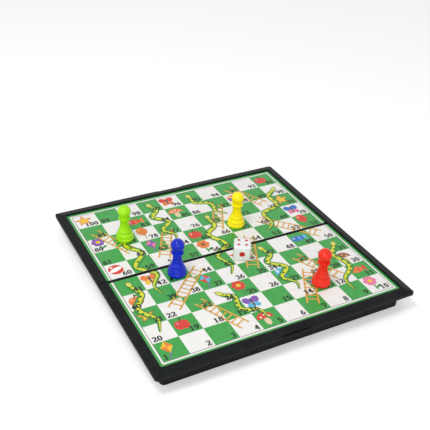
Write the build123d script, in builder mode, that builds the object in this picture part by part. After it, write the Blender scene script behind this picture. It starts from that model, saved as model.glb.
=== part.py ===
from build123d import *
import os

# Folding magnetic snakes and ladders board, shown open and flat.
# Two moulded half cases meet at a seam along X, with the front half at -Y.
# The origin is the middle of the open board, on the surface that it stands on.

# Outline of the open board
board_width = 250.0
board_depth = 248.0
seam_gap = 0.6
plan_corner_radius = 3.0
half_front = board_depth / 2
half_width = board_width / 2
seam_edge = seam_gap / 2

# Heights above the table
sheet_top = 18.4
rim_rise = 1.5
edge_drop = 0.3
lip_height = 2.6
case_top = sheet_top + rim_rise
lip_top = sheet_top - edge_drop
lip_bottom = lip_top - lip_height

# Rim round the playing surface
side_rim_width = 8.4
front_rim_width = 9.0
crest_width = 1.4
seam_rim_width = 1.25
recess_corner_radius = 1.5

# Printed sheet on its steel sheet, which hold the magnets of the pawns
playing_sheet_thickness = 0.4
steel_sheet_thickness = 0.5
sheet_clearance = 0.3
steel_inset = 1.0
recess_floor = sheet_top - playing_sheet_thickness - steel_sheet_thickness

# Tray under the flange
flange_overhang = 8.5
wall = 2.4
tray_corner_radius = 4.0
rib_height = 1.4
rib_thickness = 1.2
rib_spacing = 76.0
tray_half_width = half_width - flange_overhang
tray_front = half_front - flange_overhang

# Hinge: knuckles on one line, and a steel pin through each set
hinge_pin_diameter = 2.0
hinge_running_clearance = 0.05
hinge_swing_clearance = 0.3
knuckle_wall = 1.45
knuckle_length = 8.0
knuckle_count = 5
hinge_end_distance = 38.5
knuckle_radius = hinge_pin_diameter / 2 + hinge_running_clearance + knuckle_wall
hinge_height = knuckle_radius
hinge_length = knuckle_count * knuckle_length
hinge_offset = tray_half_width - hinge_end_distance
seam_wall_bottom = hinge_height + hinge_swing_clearance / 2

# Shiplap edge: the front skirt closes over the rear tongue
lap_clearance = 0.2
skirt_thickness = 1.05
lap_gap = 0.3
lap_height = 2 * hinge_height + lap_clearance

# Finger notch in the middle of the flange's edge
notch_width = 28.0
notch_depth = 1.4
notch_drop = 0.9
notch_end_radius = 1.2

# Bead on the rear tongue, which grips inside the front skirt when the case is shut
bead_width = 60.0
bead_clearance = 0.05
bead_height = 1.6
bead_top_from_edge = 1.2

# Pawns, all four from one mould, as heights one above another
pawn_base_diameter = 17.2
pawn_base_height = 4.2
pawn_groove_diameter = 15.6
pawn_groove_width = 0.4
pawn_upper_ring_diameter = 16.0
pawn_upper_ring_height = 2.4
pawn_waist_diameter = 11.4
pawn_waist_height = 2.0
pawn_shoulder_diameter = 12.6
pawn_shoulder_thickness = 1.8
pawn_neck_diameter = 8.2
pawn_neck_height = 12.2
pawn_collar_diameter = 11.5
pawn_collar_thickness = 1.4
pawn_collar_chamfer = 0.4
pawn_throat_diameter = 8.6
pawn_throat_height = 2.2
pawn_head_diameter = 12.3
magnet_diameter = 10.0
magnet_thickness = 2.0
magnet_clearance = 0.05
pawn_places = {
    "green": (-77.6, 56.0),
    "blue": (-55.5, -13.3),
    "yellow": (31.1, 34.5),
    "red": (55.1, -78.5),
}

# Die
die_size = 16.0
die_edge_radius = 2.3
die_place = (10.2, -14.4)
die_turn = -29.35
pip_diameter = 3.0
large_pip_diameter = 5.4
pip_spacing = 3.5
pip_depth = 0.5
paint_thickness = 0.3

os.makedirs("parts", exist_ok=True)


def write(part, name):
    """Label a finished piece and write its STEP file."""
    part.label = name
    export_step(part, f"parts/{name}.step")


def bevel_cut(plane, edge, rim_width):
    """Face above the long bevel of the rim, across the rim whose outer edge is given."""
    inwards = -1 if edge > 0 else 1
    crest = edge + inwards * (rim_width - crest_width)
    with BuildSketch(plane) as profile:
        with BuildLine():
            Polyline((edge, lip_top), (crest, case_top), (crest, case_top + 1), (edge - inwards, case_top + 1),
                     (edge - inwards, lip_top), close=True)
        make_face()
    return profile.sketch


def knuckle_centres(first):
    """X of every second knuckle, on both hinges, starting with knuckle number first."""
    centres = []
    for side in (-1, 1):
        for number in range(first, knuckle_count, 2):
            centres.append(side * hinge_offset - hinge_length / 2 + (number + 0.5) * knuckle_length)
    return centres


def half_case(front):
    """Half case with its flange, rim, tray, ribs and hinge knuckles: front at -Y, rear at +Y."""
    face = -1 if front else 1
    with BuildPart() as case:
        # Flange and rim
        with BuildSketch(Plane.XY.offset(lip_bottom)):
            with Locations((0, face * (half_front + seam_edge) / 2)):
                Rectangle(board_width, half_front - seam_edge)
            outer = vertices().group_by(Axis.Y)[0 if front else -1]
            fillet(outer, plan_corner_radius)
        extrude(amount=case_top - lip_bottom)
        for edge in (-half_width, half_width):
            extrude(bevel_cut(Plane.XZ, edge, side_rim_width), amount=half_front + 1, both=True,
                    mode=Mode.SUBTRACT)
        extrude(bevel_cut(Plane.YZ, face * half_front, front_rim_width), amount=half_width + 1, both=True,
                mode=Mode.SUBTRACT)

        # Recess for the two sheets, and the low rim along the seam
        recess_length = half_front - front_rim_width - seam_edge - seam_rim_width
        recess_middle = seam_edge + seam_rim_width + recess_length / 2
        with BuildSketch(Plane.XY.offset(recess_floor)):
            with Locations((0, face * recess_middle)):
                RectangleRounded(board_width - 2 * side_rim_width, recess_length, recess_corner_radius)
        extrude(amount=case_top - recess_floor, mode=Mode.SUBTRACT)
        with BuildSketch(Plane.XY.offset(sheet_top)):
            with Locations((0, face * (seam_edge + recess_middle) / 2)):
                Rectangle(board_width - 2 * side_rim_width, recess_middle - seam_edge)
        extrude(amount=rim_rise, mode=Mode.SUBTRACT)

        # Tray walls
        with BuildSketch():
            with Locations((0, face * (tray_front + seam_edge) / 2)):
                Rectangle(2 * tray_half_width, tray_front - seam_edge)
            fillet(vertices().group_by(Axis.Y)[0 if front else -1], tray_corner_radius)
            hollow_reach = tray_front - wall
            with Locations((0, -face * hollow_reach / 2)):
                RectangleRounded(2 * (tray_half_width - wall), 3 * hollow_reach, tray_corner_radius - wall,
                                 mode=Mode.SUBTRACT)
            with Locations((0, face * (seam_edge + wall / 2))):
                Rectangle(2 * tray_half_width, wall)
        extrude(amount=lip_bottom)

        # Low ribs under the deck
        rib_length = tray_front - seam_edge - wall
        with BuildSketch(Plane.XY.offset(lip_bottom - rib_height)):
            with Locations((0, face * (tray_front + seam_edge) / 2)):
                with GridLocations(rib_spacing, 0, 3, 1):
                    Rectangle(rib_thickness, rib_length)
                Rectangle(2 * tray_half_width - wall, rib_thickness)
        extrude(amount=rib_height)

        # Shiplap edge
        if front:
            lap_out, lap_in = skirt_thickness, wall + lap_gap
        else:
            lap_out, lap_in = -1, skirt_thickness + lap_gap
        with BuildSketch():
            for inset, step in ((lap_out, Mode.ADD), (lap_in, Mode.SUBTRACT)):
                reach = tray_front - inset
                radius = tray_corner_radius - inset
                with Locations((0, -face * reach / 2)):
                    RectangleRounded(2 * (tray_half_width - inset), 3 * reach, radius, mode=step)
            with Locations((0, -face * board_depth / 2)):
                Rectangle(board_width, board_depth, mode=Mode.SUBTRACT)
        extrude(amount=lap_height, mode=Mode.SUBTRACT)

        # Seam wall is cut back along the hinge line, and the knuckles stand out of it
        with BuildSketch():
            with Locations((0, face * (seam_edge + wall / 2))):
                Rectangle(2 * (tray_half_width - wall), wall)
        extrude(amount=seam_wall_bottom, mode=Mode.SUBTRACT)
        swing = knuckle_radius + hinge_swing_clearance
        for side in (-1, 1):
            with BuildSketch(Plane.YZ.offset(side * hinge_offset)):
                with Locations((0, hinge_height)):
                    Circle(swing)
            extrude(amount=hinge_length / 2 + hinge_swing_clearance, both=True, mode=Mode.SUBTRACT)
        for centre in knuckle_centres(0 if front else 1):
            with BuildSketch(Plane.YZ.offset(centre)):
                with Locations((0, hinge_height)):
                    Circle(knuckle_radius)
                with BuildLine():
                    Polyline((face * seam_edge, hinge_height), (face * knuckle_radius, hinge_height),
                             (face * (seam_edge + wall), hinge_height + swing + 1),
                             (face * seam_edge, hinge_height + swing + 1), close=True)
                make_face()
                with Locations((0, hinge_height)):
                    Circle(hinge_pin_diameter / 2 + hinge_running_clearance, mode=Mode.SUBTRACT)
            extrude(amount=(knuckle_length - hinge_swing_clearance) / 2, both=True)

        # Finger notch in the edge of the flange
        notch_floor = lip_top - notch_drop
        with BuildSketch(Plane.XY.offset(notch_floor)):
            with Locations((0, face * half_front)):
                RectangleRounded(notch_width, 2 * notch_depth, notch_end_radius)
        extrude(amount=case_top - notch_floor, mode=Mode.SUBTRACT)

        # Closing bead along the middle of the rear tongue
        if not front:
            bead_middle = bead_top_from_edge + bead_height / 2
            bead_rise = lap_gap - bead_clearance
            tongue_face = tray_front - skirt_thickness - lap_gap
            with BuildSketch(Plane.YZ):
                with BuildLine():
                    foot, crown = bead_middle - bead_height / 2, bead_middle + bead_height / 2
                    ThreePointArc((tongue_face, foot), (tongue_face + bead_rise, bead_middle), (tongue_face, crown))
                    Line((tongue_face, crown), (tongue_face, foot))
                make_face()
            extrude(amount=bead_width / 2, both=True)
    return case.part


def sheet(front, inset, base, thickness):
    """Flat sheet in the recess of one half."""
    face = -1 if front else 1
    length = half_front - front_rim_width - seam_edge - seam_rim_width
    middle = seam_edge + seam_rim_width + length / 2
    with BuildPart() as panel:
        with BuildSketch(Plane.XY.offset(base)):
            with Locations((0, face * middle)):
                RectangleRounded(board_width - 2 * side_rim_width - 2 * inset, length - 2 * inset,
                                 recess_corner_radius - sheet_clearance)
        extrude(amount=thickness)
    return panel.part


def pin(length, diameter, centre):
    """Plain pin along X with slightly rounded ends."""
    with BuildPart() as rod:
        with BuildSketch(Plane.YZ.offset(centre[0])):
            with Locations((centre[1], centre[2])):
                Circle(diameter / 2)
        extrude(amount=length / 2, both=True)
        chamfer(rod.edges().filter_by(GeomType.CIRCLE), diameter / 10)
    return rod.part


def pawn(place):
    """Turned pawn standing on the playing sheet, with a pocket for its magnet."""
    foot = pawn_base_diameter / 2
    groove = pawn_groove_diameter / 2
    ring = pawn_upper_ring_diameter / 2
    waist = pawn_waist_diameter / 2
    shoulder = pawn_shoulder_diameter / 2
    neck = pawn_neck_diameter / 2
    collar = pawn_collar_diameter / 2
    throat = pawn_throat_diameter / 2
    head = pawn_head_diameter / 2

    # Heights above the foot
    groove_top = pawn_base_height + pawn_groove_width
    ring_top = groove_top + pawn_upper_ring_height
    shoulder_foot = ring_top + pawn_waist_height
    shoulder_top = shoulder_foot + pawn_shoulder_thickness
    collar_foot = shoulder_top + pawn_neck_height
    collar_top = collar_foot + pawn_collar_thickness
    head_foot = collar_top + pawn_throat_height
    head_middle = head_foot + (head ** 2 - throat ** 2) ** 0.5
    narrowest = shoulder_top + 0.6 * pawn_neck_height
    ring_edge = ring - (ring - waist) / 3
    with BuildPart() as figure:
        with BuildSketch(Plane(origin=(0, place[1], sheet_top), x_dir=(1, 0, 0), z_dir=(0, -1, 0))):
            with BuildLine():
                Line((0, 0), (groove, 0))
                ThreePointArc((groove, 0), (foot, pawn_base_height / 2), (groove, pawn_base_height))
                Line((groove, pawn_base_height), (groove, groove_top))
                ThreePointArc((groove, groove_top), (ring, (groove_top + ring_top) / 2), (ring_edge, ring_top))
                ThreePointArc((ring_edge, ring_top), ((ring_edge + 3 * waist) / 4, ring_top + pawn_waist_height / 4),
                              (waist, shoulder_foot))
                ThreePointArc((waist, shoulder_foot), (shoulder, (shoulder_foot + shoulder_top) / 2),
                              (waist, shoulder_top))
                ThreePointArc((waist, shoulder_top), ((waist + 2 * neck) / 3, (shoulder_top + narrowest) / 2),
                              (neck, narrowest))
                Polyline((neck, narrowest), (throat, collar_foot), (collar - pawn_collar_chamfer, collar_foot),
                         (collar, collar_foot + pawn_collar_chamfer), (collar, collar_top - pawn_collar_chamfer),
                         (collar - pawn_collar_chamfer, collar_top), (throat, collar_top), (throat, head_foot))
                ThreePointArc((throat, head_foot), (head, head_middle), (0, head_middle + head))
                Line((0, head_middle + head), (0, 0))
            make_face()
        revolve(axis=Axis((0, place[1], 0), (0, 0, 1)))
        with BuildSketch(Plane.XY.offset(sheet_top)):
            with Locations((0, place[1])):
                Circle(magnet_diameter / 2 + magnet_clearance)
        extrude(amount=magnet_thickness, mode=Mode.SUBTRACT)
    return Pos(place[0], 0, 0) * figure.part


def magnet(place):
    """Disc magnet in the base of a pawn."""
    with BuildPart() as disc:
        with BuildSketch(Plane.XY.offset(sheet_top)):
            with Locations(place):
                Circle(magnet_diameter / 2)
        extrude(amount=magnet_thickness)
    return disc.part


def pip_spots(count):
    """Places of a face's pips, measured from the middle of the face."""
    step = pip_spacing
    middle = [(0, 0)]
    diagonal = [(-step, step), (step, -step)]
    corners = [(-step, -step), (-step, step), (step, -step), (step, step)]
    sides = [(-step, 0), (step, 0)]
    layouts = {1: middle, 2: diagonal, 3: middle + diagonal, 4: corners, 5: middle + corners, 6: corners + sides}
    return layouts[count]


die_plane = Plane(origin=(die_place[0], die_place[1], sheet_top + die_size / 2)).rotated((0, 0, die_turn))
die_faces = {1: (0, -1, 0), 6: (0, 1, 0), 2: (-1, 0, 0), 5: (1, 0, 0), 4: (0, 0, 1), 3: (0, 0, -1)}
red_counts = (1, 4)


def face_plane(count, depth):
    """Plane on one face of the die, sunk by depth, looking outwards."""
    outwards = Vector(*die_faces[count])
    across = Vector(1, 0, 0) if abs(outwards.X) < 1 else Vector(0, 1, 0)
    local = Plane(origin=outwards * (die_size / 2 - depth), x_dir=across, z_dir=outwards)
    return Plane(die_plane.location * local.location)


def pip_radius(count):
    """Radius of a pip on the face with this count."""
    return (large_pip_diameter if count == 1 else pip_diameter) / 2


def die():
    """Rounded cube with a shallow round recess for every pip."""
    with BuildPart() as cube:
        with Locations(die_plane.location):
            Box(die_size, die_size, die_size)
        fillet(cube.edges(), die_edge_radius)
        for count in die_faces:
            with BuildSketch(face_plane(count, pip_depth)):
                with Locations(pip_spots(count)):
                    Circle(pip_radius(count))
            extrude(amount=pip_depth + 1, mode=Mode.SUBTRACT)
    return cube.part


def pip_paint(counts):
    """Paint in the recesses of the given faces."""
    with BuildPart() as paint:
        for count in counts:
            with BuildSketch(face_plane(count, pip_depth)):
                with Locations(pip_spots(count)):
                    Circle(pip_radius(count))
            extrude(amount=paint_thickness)
    return paint.part


# Case halves with their sheets
for half, is_front in (("front", True), ("rear", False)):
    write(half_case(is_front), f"{half}_case")
    steel = sheet(is_front, sheet_clearance + steel_inset, recess_floor, steel_sheet_thickness)
    write(steel, f"{half}_steel_sheet")
    print_base = recess_floor + steel_sheet_thickness
    write(sheet(is_front, sheet_clearance, print_base, playing_sheet_thickness), f"{half}_playing_sheet")

# Hinge pins
for side, sign in (("left", -1), ("right", 1)):
    hinge_middle = (sign * hinge_offset, 0, hinge_height)
    write(pin(hinge_length - hinge_swing_clearance, hinge_pin_diameter, hinge_middle), f"{side}_hinge_pin")

# Playing pieces
for colour, place in pawn_places.items():
    write(pawn(place), f"{colour}_pawn")
    write(magnet(place), f"{colour}_pawn_magnet")
write(die(), "die_body")
write(pip_paint(red_counts), "die_red_pips")
write(pip_paint([count for count in die_faces if count not in red_counts]), "die_black_pips")
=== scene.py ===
import bmesh
import bpy
import math
from mathutils import Matrix, Vector


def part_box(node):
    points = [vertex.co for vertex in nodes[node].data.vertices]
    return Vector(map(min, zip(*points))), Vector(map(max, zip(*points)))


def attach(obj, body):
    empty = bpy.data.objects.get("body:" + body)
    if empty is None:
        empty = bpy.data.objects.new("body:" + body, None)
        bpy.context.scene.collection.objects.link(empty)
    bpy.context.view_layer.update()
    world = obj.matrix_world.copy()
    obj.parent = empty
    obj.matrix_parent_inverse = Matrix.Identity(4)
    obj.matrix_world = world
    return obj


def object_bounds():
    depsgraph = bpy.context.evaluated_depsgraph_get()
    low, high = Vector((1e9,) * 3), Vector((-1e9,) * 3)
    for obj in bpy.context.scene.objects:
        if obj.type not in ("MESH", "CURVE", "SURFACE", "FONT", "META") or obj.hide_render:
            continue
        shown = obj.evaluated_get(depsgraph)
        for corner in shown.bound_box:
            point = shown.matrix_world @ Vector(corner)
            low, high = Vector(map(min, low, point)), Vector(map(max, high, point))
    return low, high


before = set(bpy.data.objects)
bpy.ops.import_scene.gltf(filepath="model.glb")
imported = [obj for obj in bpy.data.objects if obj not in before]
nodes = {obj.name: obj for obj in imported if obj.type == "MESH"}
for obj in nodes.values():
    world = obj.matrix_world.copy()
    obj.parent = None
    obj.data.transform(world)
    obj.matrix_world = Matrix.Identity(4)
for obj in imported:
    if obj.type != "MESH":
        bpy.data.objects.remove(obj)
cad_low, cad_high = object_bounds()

MM = 0.001
SHEET_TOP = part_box("front_playing_sheet")[1].z

# The 10 by 10 grid of the playing surface, in millimetres from the middle of the board

COLUMNS = 10
ROWS_PER_HALF = 5
CELL_WIDTH = 22.3
CELL_DEPTH = 21.55
SEAM_MARGIN = 1.86
GRID_HALF_WIDTH = COLUMNS / 2 * CELL_WIDTH
GRID_HALF_DEPTH = SEAM_MARGIN + ROWS_PER_HALF * CELL_DEPTH

# A grey line runs round the grid, then a white band, which ends where the green border begins

LINE_WIDTH = 0.6
WHITE_BAND_X = 113.7
WHITE_BAND_Y = 111.9


# Colours

WHITE = "#ffffff"


def linear(code):
    """sRGB hex to the linear colour that a shader takes."""
    parts = [int(code[i:i + 2], 16) / 255 for i in (1, 3, 5)]
    return tuple(c / 12.92 if c <= 0.04045 else ((c + 0.055) / 1.055) ** 2.4 for c in parts) + (1.0,)


# Materials

def add(tree, kind, *values, **named):
    """Adds one shader node. Values go to its inputs in order. A name with a capital is one of its inputs, and
    has _ for a space. Other names are settings. An input is set, or linked to a socket or to the first output
    of a node."""
    node = tree.nodes.new("ShaderNode" + kind)
    for name, value in named.items():
        if name.islower():
            setattr(node, name, value)
    live = [socket for socket in node.inputs if socket.enabled]
    by_name = {socket.name: socket for socket in live}
    filled = list(zip(live, values))
    for name, value in named.items():
        if not name.islower():
            filled.append((by_name[name.replace("_", " ")], value))
    for socket, value in filled:
        if isinstance(value, bpy.types.Node):
            value = next(output for output in value.outputs if output.enabled)
        if isinstance(value, bpy.types.NodeSocket):
            tree.links.new(value, socket)
        else:
            socket.default_value = linear(value) if isinstance(value, str) else value
    return node


def new_material(name):
    """Empty material, and its tree."""
    material = bpy.data.materials.new(name)
    material.use_nodes = True
    material.node_tree.nodes.clear()
    return material, material.node_tree


def surface(tree, **shader):
    """Ends a material in one Principled BSDF."""
    add(tree, "OutputMaterial", Surface=add(tree, "BsdfPrincipled", **shader))


def grain(tree, size_mm, detail=2.0):
    """Noise whose features are about size_mm across."""
    place = add(tree, "TexCoord").outputs["Object"]
    return add(tree, "TexNoise", place, Scale=1 / (size_mm * MM), Detail=detail)


def streaks(tree, length_mm, fineness):
    """Noise drawn out along the x axis: each streak is length_mm long, and finer the other ways."""
    place = add(tree, "TexCoord").outputs["Object"]
    return add(tree, "TexNoise", add(tree, "Mapping", place, Scale=fineness), Scale=1 / (length_mm * MM))


def two_tone(tree, pattern, low, high, first, second):
    """Colour that turns from one tone to another as the pattern rises from low to high."""
    share = add(tree, "MapRange", pattern, low, high)
    return add(tree, "Mix", Factor=share, A=first, B=second, data_type="RGBA")


def moulded_abs():
    """Black ABS from a spark-eroded mould: a fine leathery grain that breaks up the highlights. The real one
    is finer, and it is drawn 1.1 mm across so that it shows."""
    material, tree = new_material("black_moulded_abs")
    leather = grain(tree, 1.1, 3.0)
    tone = add(tree, "Mix", Factor=0.3, A=leather, B=grain(tree, 14.0))
    surface(tree, Base_Color=two_tone(tree, tone, 0.38, 0.62, "#060808", "#1d2021"),
            Roughness=add(tree, "MapRange", leather, To_Min=0.4, To_Max=0.58),
            Normal=add(tree, "Bump", Height=leather, Distance=0.1 * MM, Strength=0.7),
            IOR=1.54, Specular_IOR_Level=0.1)
    return material


# The laminate over the prints

LAMINATE_ROUGHNESS = 0.36
LAMINATE_IOR = 1.5


def printed_sheet():
    """Offset-printed sheet under a semi-gloss laminate: flat inks with a faint mottle, and a soft sheen."""
    material, tree = new_material("printed_laminated_sheet")
    mottle = grain(tree, 5.0, 4.0)
    green = two_tone(tree, mottle, 0.3, 0.7, "#2f9a3c", "#3da449")
    white = two_tone(tree, mottle, 0.3, 0.7, "#f3f2ef", "#edebe7")

    # The rows of each half start at its margin, so places are moved in to the seam and then counted in cells
    place = add(tree, "TexCoord").outputs["Object"]
    half = add(tree, "VectorMath", place, operation="SIGN")
    moved = add(tree, "VectorMath", half, (0.0, -SEAM_MARGIN * MM, 0.0), place, operation="MULTIPLY_ADD")
    cells_per_metre = (1 / (CELL_WIDTH * MM), 1 / (CELL_DEPTH * MM), 0.0)
    in_cells = add(tree, "VectorMath", moved, cells_per_metre, operation="MULTIPLY")
    ink = add(tree, "TexChecker", in_cells, white, green, Scale=1.0)

    # Each frame covers what is past its own inner edge
    reach = add(tree, "SeparateXYZ", add(tree, "VectorMath", place, operation="ABSOLUTE"))
    frames = [(GRID_HALF_WIDTH, GRID_HALF_DEPTH, "#666862"),
              (GRID_HALF_WIDTH + LINE_WIDTH, GRID_HALF_DEPTH + LINE_WIDTH, white),
              (WHITE_BAND_X, WHITE_BAND_Y, "#3a9f46")]
    for half_width, half_depth, frame_ink in frames:
        past_side = add(tree, "Math", reach.outputs["X"], half_width * MM, operation="GREATER_THAN")
        past_end = add(tree, "Math", reach.outputs["Y"], half_depth * MM, operation="GREATER_THAN")
        past = add(tree, "Math", past_side, past_end, operation="MAXIMUM")
        ink = add(tree, "Mix", Factor=past, A=ink, B=frame_ink, data_type="RGBA")

    surface(tree, Base_Color=ink, Roughness=LAMINATE_ROUGHNESS, IOR=LAMINATE_IOR,
            Normal=add(tree, "Bump", Height=grain(tree, 3.0), Distance=0.02 * MM, Strength=0.4))
    return material


def printed_ink():
    """Inks of the pictures and numbers under the same laminate. Each polygon's colour is in its attribute."""
    material, tree = new_material("printed_picture_ink")
    mottle = two_tone(tree, grain(tree, 2.0, 3.0), 0.3, 0.7, "#d8d8d8", WHITE)
    colour = add(tree, "Attribute", attribute_name="ink")
    ink = add(tree, "Mix", Factor=0.25, A=colour, B=mottle, data_type="RGBA", blend_type="MULTIPLY")
    surface(tree, Base_Color=ink, Roughness=LAMINATE_ROUGHNESS, IOR=LAMINATE_IOR)
    return material


def glossy_plastic(name, colour, shade, roughness=0.1):
    """Glossy injection-moulded plastic: a clean highlight over faint flow marks, and a deeper tone here and
    there."""
    material, tree = new_material(name)
    flow = grain(tree, 9.0, 1.0)
    surface(tree, Base_Color=two_tone(tree, flow, 0.35, 0.65, colour, shade),
            Roughness=add(tree, "MapRange", flow, To_Min=roughness, To_Max=roughness + 0.08),
            Normal=add(tree, "Bump", Height=grain(tree, 2.5, 1.0), Distance=0.02 * MM, Strength=0.35),
            IOR=1.57, Specular_IOR_Level=0.24)
    return material


def tinned_steel():
    """Tin-plated steel sheet: rolled, so its sheen is drawn out in one direction. The real marks are finer,
    and these are drawn about 0.3 mm apart so that they show."""
    material, tree = new_material("tinned_steel_sheet")
    rolled = streaks(tree, 8.33, (1.0, 30.0, 1.0))
    surface(tree, Metallic=1.0, Roughness=0.32,
            Base_Color=add(tree, "Mix", Factor=rolled, A="#b4b6b8", B="#cfd1d2", data_type="RGBA"),
            Normal=add(tree, "Bump", Height=rolled, Distance=0.01 * MM, Strength=0.3))
    return material


def drawn_wire():
    """Bright drawn steel wire of the pins, with fine marks along its length. The real marks are finer, and
    these are drawn about 0.3 mm apart so that they show."""
    material, tree = new_material("drawn_steel_wire")
    drawn = streaks(tree, 11.1, (1.0, 40.0, 40.0))
    surface(tree, Metallic=1.0, Roughness=0.28,
            Base_Color=add(tree, "Mix", Factor=drawn, A="#a9aaac", B="#d2d3d4", data_type="RGBA"))
    return material


def nickel_plate():
    """Nickel-plated magnet: warm mirror sheen with tiny handling marks."""
    material, tree = new_material("nickel_plated_magnet")
    marks = grain(tree, 0.8, 4.0)
    surface(tree, Metallic=1.0, Roughness=0.22,
            Base_Color=add(tree, "Mix", Factor=marks, A="#b9b4a8", B="#d6d2c8", data_type="RGBA"),
            Normal=add(tree, "Bump", Height=marks, Distance=0.01 * MM, Strength=0.3))
    return material


def pip_paint(name, colour, shade):
    """Paint wiped into the recesses of the die: glossy, slightly uneven."""
    material, tree = new_material(name)
    uneven = grain(tree, 1.2)
    surface(tree, Roughness=0.25, IOR=1.5,
            Base_Color=add(tree, "Mix", Factor=uneven, A=colour, B=shade, data_type="RGBA"),
            Normal=add(tree, "Bump", Height=uneven, Distance=0.03 * MM, Strength=0.4))
    return material


BLACK_ABS = moulded_abs()
SHEET_PRINT = printed_sheet()
INK = printed_ink()
TINNED_STEEL = tinned_steel()
STEEL_WIRE = drawn_wire()
NICKEL = nickel_plate()
finishes = {
    "front_case": BLACK_ABS,
    "rear_case": BLACK_ABS,
    "front_playing_sheet": SHEET_PRINT,
    "rear_playing_sheet": SHEET_PRINT,
    "front_steel_sheet": TINNED_STEEL,
    "rear_steel_sheet": TINNED_STEEL,
    "left_hinge_pin": STEEL_WIRE,
    "right_hinge_pin": STEEL_WIRE,
    "die_body": glossy_plastic("polished_white_acrylic", "#f1f1f1", "#ebebec", 0.12),
    "die_red_pips": pip_paint("red_pip_paint", "#cf1518", "#b81014"),
    "die_black_pips": pip_paint("black_pip_paint", "#151515", "#202022"),
    "green_pawn": glossy_plastic("lime_polystyrene", "#a6ec04", "#9ae402"),
    "blue_pawn": glossy_plastic("blue_polystyrene", "#0328cc", "#0222b4"),
    "yellow_pawn": glossy_plastic("yellow_polystyrene", "#fff000", "#fde800"),
    "red_pawn": glossy_plastic("red_polystyrene", "#f42e10", "#e8260c"),
}
for pawn_colour in ("green", "blue", "yellow", "red"):
    finishes[pawn_colour + "_pawn_magnet"] = NICKEL


def dress(node_name, material):
    """Gives a CAD node its finish."""
    slots = nodes[node_name].material_slots
    for slot in slots:
        slot.material = material
    if not slots:
        nodes[node_name].data.materials.append(material)


for node_name, material in finishes.items():
    dress(node_name, material)


# Prints: flat polygons in thin layers over the playing sheets. The uppermost is about 0.26 mm up

LAYER_STEP = 0.012
PICTURE_LAYER = 1
LADDER_LAYER = 7
SNAKE_LAYER = 10
NUMBER_LAYER = 19
OVAL_SIDES = 20
PETAL_SIDES = 14
DOT_SIDES = 12
SPOT_SIDES = 10


class Pen:
    """Draws flat inked shapes in millimetres about its own middle, at its own scale. Its layers count up from
    its base layer, and a higher one covers a lower one."""

    def __init__(self, artwork, base_layer, middle=(0.0, 0.0), scale=1.0):
        self.artwork = artwork
        self.base_layer = base_layer
        self.middle = Vector(middle)
        self.scale = scale
        self.ink = artwork.loops.layers.float_color["ink"]

    def at(self, point, layer):
        x, y = self.middle + Vector(point) * self.scale
        return Vector((x * MM, y * MM, SHEET_TOP + (self.base_layer + layer) * LAYER_STEP * MM))

    def paint(self, faces, colour):
        for face in faces:
            for loop in face.loops:
                loop[self.ink] = linear(colour)

    def oval(self, x, y, width, height, colour, layer, turn=0.0, sides=OVAL_SIDES):
        """Filled ellipse, turned by degrees."""
        place = Matrix.Translation(self.at((x, y), layer)) @ Matrix.Rotation(math.radians(turn), 4, "Z")
        half = self.scale / 2 * MM
        stretch = Matrix.Diagonal((width * half, height * half, 1.0, 1.0))
        made = bmesh.ops.create_circle(self.artwork, cap_ends=True, segments=sides, radius=1.0,
                                       matrix=place @ stretch)
        self.paint(made["verts"][0].link_faces, colour)

    def polygon(self, points, colour, layer):
        """Filled outline of a few points."""
        vertices = [self.artwork.verts.new(self.at(point, layer)) for point in points]
        made = bmesh.ops.contextual_create(self.artwork, geom=vertices)
        self.paint(made["faces"], colour)

    def ribbon(self, points, widths, colour, layer):
        """Curved stroke whose width changes along the points: a strip of a grid, laid along them."""
        made = bmesh.ops.create_grid(self.artwork, x_segments=len(points) - 1, y_segments=1, size=1.0)
        for i, vertex in enumerate(made["verts"]):
            row, step = divmod(i, len(points))
            before, after = points[max(step - 1, 0)], points[min(step + 1, len(points) - 1)]
            side = Vector((before.y - after.y, after.x - before.x)).normalized() * widths[step] / 2
            vertex.co = self.at(points[step] + side * (2 * row - 1), layer)
        self.paint({face for vertex in made["verts"] for face in vertex.link_faces}, colour)

    def bar(self, start, end, width, colour, layer):
        """Straight stroke from start to end."""
        self.ribbon([Vector(start), Vector(end)], [width, width], colour, layer)


def new_artwork():
    """Empty print whose polygons can be inked."""
    artwork = bmesh.new()
    artwork.loops.layers.float_color.new("ink")
    return artwork


def cell_middle(number):
    """Middle of a numbered cell. The count starts at the front left, and each row runs back the other way."""
    row, step = divmod(number - 1, COLUMNS)
    column = step if row % 2 == 0 else COLUMNS - 1 - step
    x = (column + 0.5) * CELL_WIDTH - GRID_HALF_WIDTH
    y = (row + 0.5) * CELL_DEPTH - GRID_HALF_DEPTH
    past_seam = 2 * SEAM_MARGIN if row >= ROWS_PER_HALF else 0.0
    return Vector((x, y + past_seam))


pictures = new_artwork()

# Ladders from foot to head, drawn first in the edge colour and then narrower in tan. The rails stand further
# apart at the foot

LADDER_TAN = "#eab04a"
LADDER_EDGE = "#c9963c"
LADDER_GAUGE = 9.4
FOOT_SPREAD = 1.08
HEAD_SPREAD = 0.92
RUNG_PITCH = 5.4
RUNG_WIDTH = 1.1
RUNG_EDGE_WIDTH = 1.4
RAIL_TO_RUNG = 1.15
ladders = [(4, 23), (7, 28), (12, 33), (22, 44), (35, 54), (50, 68), (58, 77), (66, 87), (62, 81), (72, 93)]


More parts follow.
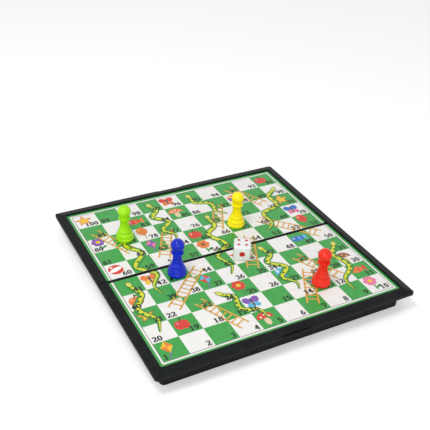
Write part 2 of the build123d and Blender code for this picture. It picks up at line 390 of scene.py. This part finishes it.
def draw_ladder(pen, foot_cell, head_cell):
    foot, head = cell_middle(foot_cell), cell_middle(head_cell)
    run = head - foot
    along = run.normalized()
    side = Vector((-along.y, along.x)) * LADDER_GAUGE / 2
    rungs = round(run.length / RUNG_PITCH)
    for layer, (width, colour) in enumerate(((RUNG_EDGE_WIDTH, LADDER_EDGE), (RUNG_WIDTH, LADDER_TAN))):
        for i in range(1, rungs):
            middle = foot + run * i / rungs
            pen.bar(middle - side, middle + side, width, colour, layer)
        for sign in (-1, 1):
            low, high = foot + side * sign * FOOT_SPREAD, head + side * sign * HEAD_SPREAD
            pen.bar(low, high, width * RAIL_TO_RUNG, colour, layer)


ladder_pen = Pen(pictures, LADDER_LAYER)
for foot_cell, head_cell in ladders:
    draw_ladder(ladder_pen, foot_cell, head_cell)

# Snakes, each a wave about the line between two cells. A longer one swings wider

SNAKE_EDGE = "#1d5222"
SNAKE_GREEN = "#4aa536"
SNAKE_YELLOW = "#dcdc22"
TONGUE_RED = "#d8342a"
EYE_BLACK = "#101010"
SNAKE_STEPS = 60
SNAKE_GIRTH = 5.2
SNAKE_OUTLINE = 1.3
LEAST_SWING = 4.0
RUN_PER_SWING = 36
NECK_GIRTH = 0.62
TIP_GIRTH = 0.1
BELLY_GIRTH = 0.62
BELLY_SHIFT = 0.5
SPOT_SHIFT = 0.7
STEPS_PER_SPOT = 5
SPOTLESS_STEPS = 6
NECK_TO_HEAD = 1.8
HEAD_SIZE = (6.7, 4.7)
HEAD_EDGE_SIZE = (7.6, 5.6)
TONGUE_ROOT = 1.5
TONGUE_TIP = 5.0
TONGUE_WIDTH = 0.6
EYE_AHEAD = 0.7
EYE_ASIDE = 1.4
EYE_SIZE = 1.7
PUPIL_SIZE = 0.9

# Head and tail cells, the side that the snake first swings to, and its waves

snakes = [(97, 64, 1.0, 2.5), (90, 53, -1.0, 2.0), (75, 36, 1.0, 2.5), (79, 39, -1.0, 2.5),
          (47, 14, 1.0, 2.5), (31, 9, -1.0, 1.5), (24, 5, 1.0, 1.5), (95, 74, -1.0, 1.5), (41, 20, 1.0, 1.5)]


def draw_snake(pen, head_cell, tail_cell, sense, waves):
    """Body of one snake, then its head. It swings less at both ends, and is thin at the neck and the tail."""
    head, tail = cell_middle(head_cell), cell_middle(tail_cell)
    run = tail - head
    side = Vector((-run.y, run.x)).normalized() * sense
    swing = LEAST_SWING + run.length / RUN_PER_SWING
    points, widths = [], []
    for i in range(SNAKE_STEPS + 1):
        share = i / SNAKE_STEPS
        calm = min(1.0, 4 * share, 2.5 * (1 - share) + 0.2)
        wave = math.sin(share * waves * 2 * math.pi) * swing * calm
        points.append(head + run * share + side * wave)
        neck, taper = min(1.0, NECK_GIRTH + 3 * share), min(1.0, TIP_GIRTH + 2.2 * (1 - share))
        widths.append(SNAKE_GIRTH * neck * taper)
    pen.ribbon(points, [width + SNAKE_OUTLINE for width in widths], SNAKE_EDGE, 0)
    pen.ribbon(points, widths, SNAKE_GREEN, 1)
    belly = [point + side * BELLY_SHIFT for point in points]
    pen.ribbon(belly, [width * BELLY_GIRTH for width in widths], SNAKE_YELLOW, 2)
    for i in range(SPOTLESS_STEPS, SNAKE_STEPS - SPOTLESS_STEPS, STEPS_PER_SPOT):
        spot = widths[i] / 2
        pen.oval(*(points[i] - side * SPOT_SHIFT), spot, spot, SNAKE_EDGE, 3, sides=SPOT_SIDES)
    draw_snake_head(pen, head, (points[0] - points[3]).normalized())


def draw_snake_head(pen, neck, heading):
    """Oval head with two eyes, and the tongue ahead of it."""
    across = Vector((-heading.y, heading.x))
    turn = math.degrees(math.atan2(heading.y, heading.x))
    middle = neck + heading * NECK_TO_HEAD
    pen.bar(middle + heading * TONGUE_ROOT, middle + heading * TONGUE_TIP, TONGUE_WIDTH, TONGUE_RED, 0)
    pen.oval(*middle, *HEAD_EDGE_SIZE, SNAKE_EDGE, 4, turn)
    pen.oval(*middle, *HEAD_SIZE, SNAKE_YELLOW, 5, turn)
    for sign in (-1, 1):
        eye = middle + heading * EYE_AHEAD + across * sign * EYE_ASIDE
        pen.oval(*eye, EYE_SIZE, EYE_SIZE, WHITE, 6, sides=DOT_SIDES)
        pen.oval(*eye, PUPIL_SIZE, PUPIL_SIZE, EYE_BLACK, 7, sides=SPOT_SIDES)


snake_pen = Pen(pictures, SNAKE_LAYER)
for head_cell, tail_cell, sense, waves in snakes:
    draw_snake(snake_pen, head_cell, tail_cell, sense, waves)


# Small pictures for some of the cells, each drawn within about 7 mm of its middle before it is scaled

STALK_GREEN = "#2f8f3a"
LEAF_GREEN = "#3d9a3f"
STRING_BROWN = "#6b5a4a"
TWIG_BROWN = "#6a4526"
MUSHROOM_STEM = "#e9d3ac"
TAIL_PURPLE = "#7b5bb0"
BUTTERFLY_BODY = "#4a3324"


def round_points(radii, first, step):
    """Points at those distances from the middle, a step of degrees apart."""
    angles = [math.radians(first + step * i) for i in range(len(radii))]
    return [(radius * math.cos(angle), radius * math.sin(angle)) for radius, angle in zip(radii, angles)]


def flower(pen, petal, eye):
    pen.bar((0, -6), (0, 0), 0.9, STALK_GREEN, 0)
    pen.oval(2.0, -3.6, 3.8, 1.7, STALK_GREEN, 0, 30)
    for i, (x, y) in enumerate(round_points([2.4] * 6, 0, 60)):
        pen.oval(x, 2 + y, 3.4, 3.4, petal, 1 + i % 2, sides=PETAL_SIDES)
    pen.oval(0, 2, 2.8, 2.8, eye, 3)


def balloon(pen, skin, shine):
    pen.bar((0, -6.5), (0.4, 0), 0.35, STRING_BROWN, 0)
    pen.polygon([(-1, -2.6), (1, -2.6), (0, -0.8)], skin, 0)
    pen.oval(0, 2.2, 6.6, 8.2, skin, 1)
    pen.oval(-1.4, 3.9, 1.3, 2.4, shine, 2, 20)


def star(pen, face, edge):
    for layer, (reach, colour) in enumerate(((5.6, edge), (4.5, face))):
        pen.polygon(round_points([reach, reach * 0.45] * 5, 90, 36), colour, layer)


def apple(pen, skin, shine):
    pen.oval(-1.4, -0.6, 5.4, 6.8, skin, 0)
    pen.oval(1.4, -0.6, 5.4, 6.8, skin, 1)
    pen.bar((0, 2), (0.6, 5), 0.8, TWIG_BROWN, 2)
    pen.oval(2.2, 4.2, 3.6, 1.7, LEAF_GREEN, 2, 25)
    pen.oval(-2.0, 0.8, 1.2, 2.2, shine, 3, 15)


def ball(pen, rubber, band):
    pen.oval(0, 0, 8.6, 8.6, rubber, 0)
    pen.oval(0, 0, 8.4, 3.2, band, 1, 20)
    pen.oval(-1.8, 2.4, 1.8, 1.2, WHITE, 2, 30)


def mushroom(pen, cap, dot):
    pen.oval(0, -3, 3.4, 6.0, MUSHROOM_STEM, 0)
    dome = [math.radians(angle) for angle in range(0, 181, 15)]
    pen.polygon([(4.8 * math.cos(angle), 4.6 * math.sin(angle) - 0.6) for angle in dome], cap, 1)
    for x, y in ((-2.2, 0.8), (0.3, 2.0), (2.4, 0.5)):
        pen.oval(x, y, 1.3, 1.3, dot, 2, sides=DOT_SIDES)


def kite(pen, sail, patch):
    foot, left, right, top, middle = (0, -3.2), (-3.3, 1.4), (3.3, 1.4), (0, 5.6), (0, 1.4)
    tail = [Vector((0.9 * math.sin(i * 0.9) - 0.4, -2 - i * 0.7)) for i in range(8)]
    pen.ribbon(tail, [0.5] * len(tail), TAIL_PURPLE, 0)
    pen.polygon([foot, right, top, left], sail, 0)
    pen.polygon([foot, right, middle], patch, 1)
    pen.polygon([middle, top, left], patch, 1)


def butterfly(pen, upper_wing, lower_wing):
    for sign in (-1, 1):
        pen.oval(sign * 2.5, 1.9, 4.4, 5.2, upper_wing, 0, -sign * 30)
        pen.oval(sign * 2.0, -2.2, 3.4, 4.0, lower_wing, 1, sign * 25)
    pen.oval(0, 0, 1.1, 7.6, BUTTERFLY_BODY, 2)


def fish(pen, scales, fin):
    pen.polygon([(2.4, 0), (5.6, -3.0), (5.6, 3.0)], fin, 0)
    pen.oval(-0.6, 0, 8.6, 5.2, scales, 1)
    pen.oval(0.8, 0, 1.2, 4.4, fin, 2)
    pen.oval(-2.9, 0.7, 1.4, 1.4, WHITE, 2, sides=DOT_SIDES)
    pen.oval(-2.9, 0.7, 0.7, 0.7, EYE_BLACK, 3, sides=SPOT_SIDES)


PICTURE_SCALE = 1.62
PICTURE_SHIFT = Vector((-2.6, 1.6))
RED = "#dd3b28"
ORANGE = "#ea7f30"
YELLOW = "#f4c52e"
BLUE = "#2f6fc8"
SKY = "#57b9de"
PURPLE = "#8252b4"
PINK = "#ee7aa6"
PEACH = "#efb884"
BROWN = "#96532c"
CREAM = "#fff4e0"
drawings = [
    (1, kite, ORANGE, YELLOW), (5, mushroom, RED, CREAM), (10, flower, PINK, YELLOW), (11, fish, ORANGE, RED),
    (13, ball, BLUE, YELLOW), (16, butterfly, PURPLE, SKY), (19, apple, RED, PINK), (21, star, YELLOW, BROWN),
    (25, flower, RED, YELLOW), (27, balloon, SKY, WHITE), (30, mushroom, BROWN, PEACH), (37, kite, RED, SKY),
    (40, apple, ORANGE, PEACH), (42, butterfly, ORANGE, YELLOW), (46, star, ORANGE, RED),
    (49, fish, BLUE, SKY), (51, balloon, RED, PEACH), (56, flower, ORANGE, BROWN), (60, ball, RED, WHITE),
    (63, kite, PURPLE, PINK), (65, apple, RED, PEACH), (70, butterfly, BLUE, PINK),
    (71, star, YELLOW, ORANGE), (78, balloon, ORANGE, YELLOW), (80, flower, PURPLE, YELLOW),
    (83, fish, RED, ORANGE), (85, mushroom, ORANGE, WHITE), (88, ball, ORANGE, BLUE),
    (91, apple, RED, PINK), (96, butterfly, RED, ORANGE), (98, kite, BLUE, YELLOW), (100, star, YELLOW, RED),
]
for number, draw, main_colour, second_colour in drawings:
    picture_pen = Pen(pictures, PICTURE_LAYER, cell_middle(number) + PICTURE_SHIFT, PICTURE_SCALE)
    draw(picture_pen, main_colour, second_colour)

# Numbers 1 to 100 in serif numerals, with thick strokes up and down and thin ones across. The margin and the
# height are in millimetres, and the other sizes are shares of the height

NUMBER_INK = "#101410"
NUMBER_MARGIN = 1.5
NUMERAL_HEIGHT = 5.6
NUMERAL_ADVANCE = 0.78
NUMERAL_STRETCH = 1.1
NUMERAL_THICK = 0.25
NUMERAL_THIN = 0.1
LEAST_ARC_STEPS = 4
DEGREES_PER_ARC_STEP = 24


def arc(x, y, across, up, first, last):
    """Points along part of an ellipse, from one angle to another in degrees."""
    steps = max(LEAST_ARC_STEPS, round(abs(last - first) / DEGREES_PER_ARC_STEP))
    angles = [math.radians(first + (last - first) * i / steps) for i in range(steps + 1)]
    return [Vector((x + across * math.cos(angle), y + up * math.sin(angle))) for angle in angles]


def line(*points):
    return [Vector(point) for point in points]


SIX = [arc(0.3, 0.3, 0.22, 0.27, 0, 360), arc(0.56, 0.38, 0.47, 0.58, 100, 185)]
NUMERALS = {
    "0": [arc(0.3, 0.5, 0.22, 0.46, 0, 360)],
    "1": [line((0.3, 0.0), (0.3, 0.98)), line((0.3, 0.94), (0.1, 0.8)), line((0.1, 0.03), (0.5, 0.03))],
    "2": [arc(0.29, 0.72, 0.21, 0.25, 165, -35) + line((0.06, 0.05)), line((0.05, 0.06), (0.54, 0.06)),
          line((0.53, 0.05), (0.57, 0.24))],
    "3": [arc(0.27, 0.74, 0.19, 0.22, 150, -90), arc(0.27, 0.27, 0.23, 0.25, 90, -155)],
    "4": [line((0.38, 0.98), (0.03, 0.3)), line((0.02, 0.29), (0.58, 0.29)),
          line((0.41, 0.0), (0.41, 0.98)), line((0.26, 0.03), (0.56, 0.03))],
    "5": [line((0.13, 0.94), (0.52, 0.94)), line((0.13, 0.95), (0.11, 0.54)),
          arc(0.27, 0.3, 0.23, 0.27, 125, -150)],
    "6": SIX,
    "7": [line((0.05, 0.93), (0.56, 0.93)), line((0.06, 0.96), (0.04, 0.74)),
          line((0.53, 0.93), (0.22, 0.0))],
    "8": [arc(0.3, 0.74, 0.18, 0.21, 0, 360), arc(0.3, 0.27, 0.22, 0.25, 0, 360)],
    "9": [[Vector((0.6, 1.0)) - point for point in stroke] for stroke in SIX],
}


def stroke_widths(points):
    """Pen width at each point, from the way that the stroke is going."""
    widths = []
    for i in range(len(points)):
        run = points[min(i + 1, len(points) - 1)] - points[max(i - 1, 0)]
        widths.append(NUMERAL_THIN + (NUMERAL_THICK - NUMERAL_THIN) * abs(run.y) / run.length)
    return widths


# Numbers that stand in the front left corner of their cell. The others stand in the front right one

left_numbers = {1, 12, 16, 20, 22, 34, 40, 43, 55, 61, 73, 80, 86, 99}


def write_number(artwork, number):
    text = str(number)
    middle = cell_middle(number)
    advance = NUMERAL_ADVANCE * NUMERAL_HEIGHT
    to_margin = CELL_WIDTH / 2 - NUMBER_MARGIN
    start_x = middle.x - to_margin if number in left_numbers else middle.x + (to_margin - advance * len(text))
    start_y = middle.y - CELL_DEPTH / 2 + NUMBER_MARGIN
    for i, numeral in enumerate(text):
        pen = Pen(artwork, NUMBER_LAYER, (start_x + i * advance, start_y), NUMERAL_HEIGHT)
        for layer, stroke in enumerate(NUMERALS[numeral]):
            wide = [Vector((point.x * NUMERAL_STRETCH, point.y)) for point in stroke]
            pen.ribbon(wide, stroke_widths(wide), NUMBER_INK, layer)


numbers = new_artwork()
for number in range(1, COLUMNS * 2 * ROWS_PER_HALF + 1):
    write_number(numbers, number)

# A point this near to a cut, in metres, counts as on it

CUT_SNAP = 1e-7


def cut_print(artwork, name, body, sheet_node):
    """One half's share of a print, cut off at the front and rear edges of its sheet."""
    share = artwork.copy()
    low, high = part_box(sheet_node)
    for edge, outwards in ((low, (0, -1, 0)), (high, (0, 1, 0))):
        bmesh.ops.bisect_plane(share, geom=share.verts[:] + share.edges[:] + share.faces[:], dist=CUT_SNAP,
                               plane_co=edge, plane_no=outwards, clear_outer=True)
    bmesh.ops.triangulate(share, faces=share.faces[:])
    bmesh.ops.reverse_faces(share, faces=[face for face in share.faces if face.normal.z < 0])
    mesh = bpy.data.meshes.new(name)
    share.to_mesh(mesh)
    share.free()
    mesh.materials.append(INK)
    piece = bpy.data.objects.new(name, mesh)
    bpy.context.scene.collection.objects.link(piece)
    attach(piece, body)


for half in ("front", "rear"):
    cut_print(pictures, half + "_printed_pictures", half + "_half", half + "_playing_sheet")
    cut_print(numbers, half + "_printed_numbers", half + "_half", half + "_playing_sheet")
pictures.free()
numbers.free()


# Floor and world. Lengths are in metres

FLOOR_GLOW = 0.25
FLOOR_REACH = 6.0
FLOOR_GAP = 0.0002
WORLD_LIGHT = 0.62


def background_rays(tree):
    """One for rays from the camera, reflections and clear materials, which show the white background."""
    path = add(tree, "LightPath").outputs
    clear = add(tree, "Math", path["Is Glossy Ray"], path["Is Transmission Ray"], operation="MAXIMUM")
    return add(tree, "Math", path["Is Camera Ray"], clear, operation="MAXIMUM")


def studio_white():
    """Pale matt floor that keeps the object's shadow, and is plain white where the light is full."""
    material, tree = new_material("studio_white_floor")
    pale = add(tree, "Mix", Factor=grain(tree, 300.0), A="#f7f7f7", B="#f9f9f9", data_type="RGBA")
    glow = add(tree, "Math", background_rays(tree), FLOOR_GLOW, operation="MULTIPLY")
    surface(tree, Base_Color=pale, Roughness=0.9, Specular_IOR_Level=0.0, Emission_Color=WHITE,
            Emission_Strength=glow)
    return material


def build_floor():
    plane = bmesh.new()
    bmesh.ops.create_grid(plane, x_segments=1, y_segments=1, size=FLOOR_REACH)
    mesh = bpy.data.meshes.new("studio_floor")
    plane.to_mesh(mesh)
    plane.free()
    mesh.materials.append(studio_white())
    floor = bpy.data.objects.new("studio_floor", mesh)
    bpy.context.scene.collection.objects.link(floor)
    settle(floor)


def settle(floor):
    """Floor just under the open board. As the board shuts, the rear half turns under the front one with its
    pawns hanging from it, and the floor gives way under the head of one of them."""
    pawn_top = bpy.data.objects.new("pawn_top", None)
    pawn_top.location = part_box("green_pawn")[1]
    bpy.context.scene.collection.objects.link(pawn_top)
    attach(pawn_top, "green_pawn")
    follow = floor.constraints.new("COPY_LOCATION")
    follow.target = pawn_top
    follow.use_x = follow.use_y = False
    level = floor.constraints.new("LIMIT_LOCATION")
    level.use_max_z = True
    level.max_z = cad_low.z - FLOOR_GAP


def build_world():
    """Plain white to look at, and dimmer as a light."""
    world = bpy.data.worlds.new("studio")
    bpy.context.scene.world = world
    world.use_nodes = True
    tree = world.node_tree
    tree.nodes.clear()
    strength = add(tree, "MapRange", background_rays(tree), To_Min=WORLD_LIGHT, To_Max=1.0)
    add(tree, "OutputWorld", Surface=add(tree, "Background", Color=WHITE, Strength=strength))


# Soft boxes that face the board: their place and their two sides in metres, and their power in watts

soft_boxes = {
    "key_soft_box": ((-0.4, -0.1, 0.95), (0.32, 0.32), 3.0),
    "front_soft_box": ((-0.55, -0.95, 0.55), (0.8, 0.6), 4.2),
}


def build_soft_box(name, place, sides, power):
    lamp = bpy.data.lights.new(name, "AREA")
    lamp.shape = "RECTANGLE"
    lamp.size, lamp.size_y = sides
    lamp.energy = power
    holder = bpy.data.objects.new(name, lamp)
    holder.location = place
    holder.rotation_mode = "QUATERNION"
    holder.rotation_quaternion = (-Vector(place)).to_track_quat("-Z", "Y")
    bpy.context.scene.collection.objects.link(holder)


# Camera fitted to the corners of the grid: its place and nearest view in metres, its turns in degrees, and
# its lens and sensor in millimetres

CAMERA_PLACE = Vector((-0.2828, -0.4808, 0.4189))
CAMERA_HEADING = 29.354
CAMERA_PITCH = 32.93
CAMERA_ROLL = 3.13
CAMERA_LENS = 61.2
CAMERA_SENSOR = 36.0
CAMERA_NEAREST = 0.01


def build_camera():
    heading, pitch = math.radians(CAMERA_HEADING), math.radians(CAMERA_PITCH)
    forward = Vector((math.sin(heading) * math.cos(pitch), math.cos(heading) * math.cos(pitch),
                      -math.sin(pitch)))
    level = Vector((math.cos(heading), -math.sin(heading), 0.0))
    right = Matrix.Rotation(math.radians(-CAMERA_ROLL), 3, forward) @ level
    up = right.cross(forward)
    turned = Matrix((right, up, -forward)).transposed().to_4x4()
    data = bpy.data.cameras.new("camera")
    data.sensor_width = CAMERA_SENSOR
    data.lens = CAMERA_LENS
    data.clip_start = CAMERA_NEAREST
    holder = bpy.data.objects.new("camera", data)
    holder.matrix_world = Matrix.Translation(CAMERA_PLACE) @ turned
    bpy.context.scene.collection.objects.link(holder)
    bpy.context.scene.camera = holder


build_floor()
build_world()
for name, (place, sides, power) in soft_boxes.items():
    build_soft_box(name, place, sides, power)
build_camera()
bpy.context.scene.view_settings.view_transform = "Standard"
